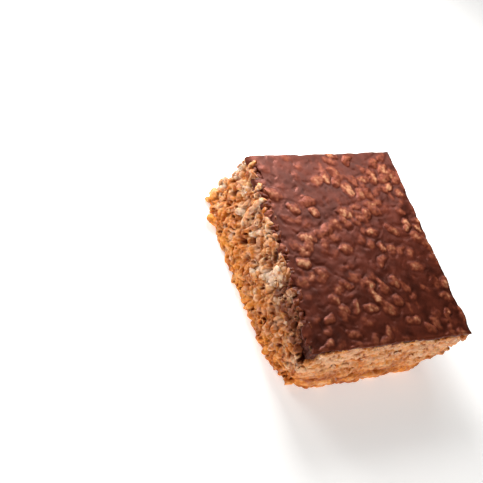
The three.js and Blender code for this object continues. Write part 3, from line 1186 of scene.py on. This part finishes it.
def topGrains(draw):
    # each grain under the film: middle, turn, half length, half width, crest and how bare it is
    wide, deepShade = block["width"], block["depth"]
    frontFilmShade, frontSpan = chocolate["frontFilmShade"]
    backFilm, backSpan = chocolate["backFilm"]
    perMm, clusterReach = chocolate["cluster"]
    least, beyond = chocolate["shows"]
    grains = []
    for x, y, turn, length, showing in placedMarks:
        middle, half = np.array((x, y)), length / 2
        width = half * chocolate["placedWidth"]
        grains.append((middle, math.radians(turn), half, width, chocolate["placedTop"], showing))
    placed = np.array(placedMarks)[:, :2]
    for x, y in scatter(draw, wide, deepShade, chocolate["grainGap"], chocolate["tries"]):
        middle = np.array([x - wide / 2, y - deepShade / 2]) + block["middle"]
        turn = draw.uniform(0, math.pi)
        half = chocolate["grainLength"] * draw.uniform(*chocolate["lengths"]) / 2
        width = chocolate["grainWidth"] * draw.uniform(*chocolate["widths"]) / 2
        crest = draw.uniform(*chocolate["grainTop"])
        crest += clusterReach * noise.noise((x * perMm, y * perMm, 4.5))
        showing = (least + beyond * draw.uniform() ** 2) * smoothStep(*chocolate["bareFrom"], crest)
        # fewer marks towards the front are painted shade
        showing *= 1 - frontFilmShade * smoothStep(*frontSpan, y) - backFilm * smoothStep(*backSpan, y)
        if np.linalg.norm(placed - middle, axis=1).min() > chocolate["placedClear"]:
            grains.append((middle, turn, half, width, crest, showing))
    return grains


def topHeights(points, draw):
    # the height of the poured top, how much rice shows through it, and the painted shade in its dents and
    # hollows
    dents = patchesAt(points, chocolate["dents"], 31)
    level = chocolate["level"] + wavesAt(points, chocolate["swells"])
    level -= chocolate["dentDepth"] * dents
    perMm, wobbleReach = chocolate["wobble"]
    wobble = np.stack([noiseAt(points, perMm, seed) for seed in (22, 23)], 1) * wobbleReach
    bubbles = bubblesAt(points, chocolate["bubbles"], 24) - domeMiddle
    ragged = wavesAt(points, chocolate["markRagged"])
    edgeRagged, coverRagged, hollowRagged = chocolate["raggedness"]
    ringIn, ringMiddle, ringOut = chocolate["hollowRing"]
    heights = level.copy()
    bare, hollows = np.zeros(len(points)), np.zeros(len(points))
    for middle, turn, half, width, crest, showing in topGrains(draw):
        felt = half + chocolate["near"]
        near = np.flatnonzero(((points[:, :2] - middle) ** 2).sum(1) < felt ** 2)
        if not len(near):
            continue
        away = points[near, :2] + wobble[near] - middle
        rough = ragged[near]
        radius = lumpRadius(away[:, 0], away[:, 1], turn, half, width)
        surface = level[near] + crest - width * chocolate["grainDome"] * lumpDrop(radius)
        surface += chocolate["bubbleReach"] * bubbles[near]
        heights[near] = drape(heights[near], surface, chocolate["film"])[0]
        shows = chocolate["thinShows"] * smoothStep(*chocolate["thinFrom"], surface - level[near])
        shows += showing * smoothStep(*chocolate["markEdge"], radius + edgeRagged * rough)
        bare[near] = np.maximum(bare[near], np.clip(shows * (1 - coverRagged * rough), 0, 1))
        edge = radius + hollowRagged * rough
        ring = smoothStep(ringIn, ringMiddle, edge) * smoothStep(ringOut, ringMiddle, edge)
        ring *= np.clip(showing / chocolate["hollowFrom"], 0, 1)
        hollows[near] = np.maximum(hollows[near], ring)
    hollows *= np.clip(1 - 3 * bare, 0, 1)
    heights -= chocolate["hollows"] * hollows
    # the dents and the hollows are darkened with painted shade
    dentShade, hollowShade = chocolate["paintedShade"]
    paintedShade = np.maximum(dentShade * dents * np.clip(1 - 2 * bare, 0, 1), hollowShade * hollows)
    return heights, bare, paintedShade


def makeChocolate(finish):
    draw = np.random.default_rng(chocolate["seed"])
    across = round(block["width"] / chocolate["step"])
    along = round(block["depth"] / chocolate["step"])
    u, v = np.meshgrid(np.arange(across + 1) / across, np.arange(along + 1) / along)
    u, v = u.ravel(), v.ravel()
    front, right, back, left = chocolate["insets"]

    def planAt(u, v, heights):
        corners = wallsAt(heights)[0]
        near = corners[:, 0] + (corners[:, 1] - corners[:, 0]) * u[:, None]
        far = corners[:, 3] + (corners[:, 2] - corners[:, 3]) * u[:, None]
        plan = near + (far - near) * v[:, None]
        pulled = np.stack([left * (1 - u) - right * u, front * (1 - v) - back * v], 1)
        return np.column_stack([plan + pulled, heights])

    top = planAt(u, v, np.full(len(u), block["height"]))
    toEdges = -outsideCut(top) - np.array(chocolate["insets"])
    besides, fading = chocolate["chipBlend"]
    closeness = (np.clip(toEdges, 0, None) + besides) ** fading
    reach = closeness @ chocolate["chips"] / closeness.sum(1) * smoothStep(1.0, 0.9, v)
    chip = reach * np.clip(wavesAt(top, chocolate["chipRagged"]), 0, chocolate["chipMost"])
    wander = (knifeWander(top) - chip) * smoothStep(*chocolate["wanderWithin"], toEdges.min(1))
    top[:, 0] += wander * np.clip(2 * u - 1, -1, 1)
    top[:, 1] += wander * np.clip(2 * v - 1, -1, 1)
    heights, bare, paintedShade = topHeights(top, draw)
    thin, thinSpan = chocolate["thinEdge"]
    bare = np.maximum(bare, thin * smoothStep(*thinSpan, toEdges[:, frontWall]))
    rounding = np.clip(1 - toEdges / np.array(chocolate["rimRounds"]), 0, 1) ** 2
    top[:, 2] = heights - (rounding * np.array(chocolate["rimDrops"])).max(1)

    # the rim runs counter-clockwise from front left
    grid = np.arange(len(u)).reshape(along + 1, across + 1)
    rim = np.concatenate([grid[0, :-1], grid[:-1, -1], grid[-1, :0:-1], grid[:0:-1, 0]])
    rows = [top]
    sunkShade = [paintedShade]
    pitMean, pitMost = chocolate["pitSpan"]
    tuckReach, tuckSpan = chocolate["skirtTuck"]
    for row in range(1, chocolate["skirtRows"] + 1):
        down = row / chocolate["skirtRows"]
        heights = top[rim, 2] - chocolate["skirt"] * down
        ring = planAt(u[rim], v[rim], heights)
        pits = np.clip(pitMean + wavesAt(ring, chocolate["pitWaves"]), 0, pitMost)
        ease = smoothStep(*chocolate["skirtEase"], down + wavesAt(ring, chocolate["easeRagged"]))
        inward = (chocolate["skirtInset"] + chocolate["skirtPits"] * (pits - 0.5)) * ease
        inward = np.maximum(inward, chip[rim]) + tuckReach * smoothStep(*tuckSpan, down)
        inward -= knifeWander(ring)
        ring[:, 0] -= inward * (2 * u[rim] - 1)
        ring[:, 1] -= inward * (2 * v[rim] - 1)
        rows.append(ring)
        # painted shade darkens the sides as they go down
        sunkShade.append(np.full(len(ring), smoothStep(*chocolate["skirtDark"], down)))
    closing = np.array([[*block["middle"], seam["height"] - 0.5]])
    points = np.vstack(rows + [closing])

    a, b = grid[:-1, :-1].ravel(), grid[:-1, 1:].ravel()
    c, d = grid[1:, 1:].ravel(), grid[1:, :-1].ravel()
    faces = [np.stack([a, b, c], 1), np.stack([a, c, d], 1)]
    count = len(rim)
    upper = rim
    for row in range(chocolate["skirtRows"]):
        lower = len(u) + row * count + np.arange(count)
        nextUpper, nextLower = np.roll(upper, -1), np.roll(lower, -1)
        faces += [np.stack([upper, lower, nextLower], 1), np.stack([upper, nextLower, nextUpper], 1)]
        upper = lower
    faces.append(np.stack([upper, np.full(count, len(points) - 1), np.roll(upper, -1)], 1))
    bare = np.concatenate([bare, np.zeros(len(points) - len(bare))])
    sunkShade = np.concatenate(sunkShade + [np.ones(1)])
    return addPiece("chocolate_slab", points, np.vstack(faces), finish, {"bare": bare, "sunkShade": sunkShade})


chocolateSlab = makeChocolate(chocolateFinish())

# what stands for what

baseRice = [piece for kind, piece in ricePieces.items() if kind != "soaked"]
for piece in (caramelCore, *baseRice):
    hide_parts("rice_base")
for piece in (chocolateSlab, ricePieces["soaked"]):
    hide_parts("chocolate_top")
for piece in (caramelCore, chocolateSlab, *ricePieces.values()):
    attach(piece, "root")

# studio

studio = {
    "floor": (246, 245, 243),
    "floorHalf": 3.0,  # metres
    "floorGlow": 0.5,  # a light table
    "world": 0.06,
    "lights": (
        {"name": "key_softbox", "from": (0.0, 0.14, 0.12), "away": 0.15, "size": 0.08, "power": 0.36},
        {"name": "back_softbox", "from": (0.44, 0.59, 0.675), "away": 0.155, "size": 0.09, "power": 0.08},
        {"name": "left_fill", "from": (-0.65, 0.75, 0.25), "away": 0.19, "size": 0.16, "power": 0.19},
        {"name": "left_lamp", "from": (-0.5, 0.8, 0.3), "away": 0.6, "size": 0.2, "power": 1.0},
        {"name": "front_fill", "from": (-0.2, -0.9, 0.08), "away": 0.6, "size": 0.25, "power": 3.65},
    ),
}


def makeStudio():
    mesh = bpy.data.meshes.new("floor")
    half = studio["floorHalf"]
    corners = [(-half, -half, 0), (half, -half, 0), (half, half, 0), (-half, half, 0)]
    mesh.from_pydata(corners, [], [(0, 1, 2, 3)])
    finish, _, shader = newFinish("studio_floor")
    colour = shade(*studio["floor"])
    setInputs(shader, {"Base Color": colour, "Roughness": 0.9, "Specular IOR Level": 0.0})
    setInputs(shader, {"Emission Color": colour, "Emission Strength": studio["floorGlow"]})
    mesh.materials.append(finish)
    floor = bpy.data.objects.new("floor", mesh)
    bpy.context.scene.collection.objects.link(floor)
    world = bpy.data.worlds.new("studio")
    world.use_nodes = True
    sky = world.node_tree.nodes["Background"]
    setInputs(sky, {"Strength": studio["world"], "Color": (1, 1, 1, 1)})
    bpy.context.scene.world = world
    for box in studio["lights"]:
        light = bpy.data.lights.new(box["name"], "AREA")
        light.shape = "DISK"
        light.size = box["size"]
        light.energy = box["power"]
        lamp = bpy.data.objects.new(box["name"], light)
        towards = Vector(box["from"]).normalized()
        lamp.location = towards * box["away"]
        lamp.rotation_mode = "QUATERNION"
        lamp.rotation_quaternion = towards.to_track_quat("Z", "Y")
        bpy.context.scene.collection.objects.link(lamp)


# the camera looks down on the cake and is rolled, so that the cake stands on its corner in the frame
view = {
    "place": (-193.35, -119.88, 255.56),
    "right": (0.8623, -0.3085, 0.4017),
    "down": (-0.0709, -0.8589, -0.5072),
    "forward": (0.5015, 0.4088, -0.7625),
    "focalPixels": 1000.0,
    "imagePixels": 483.0,
    "sensor": 36.0,
}


def makeCamera():
    data = bpy.data.cameras.new("camera")
    data.sensor_width = view["sensor"]
    data.lens = view["sensor"] * view["focalPixels"] / view["imagePixels"]
    data.clip_start = 0.01
    camera = bpy.data.objects.new("camera", data)
    axes = Matrix((view["right"], -Vector(view["down"]), -Vector(view["forward"]))).transposed()
    camera.matrix_world = Matrix.Translation(Vector(view["place"]) * mm) @ axes.to_4x4()
    bpy.context.scene.collection.objects.link(camera)
    bpy.context.scene.camera = camera


makeStudio()
makeCamera()
bpy.context.scene.view_settings.view_transform = "Standard"
print("studio and camera set")
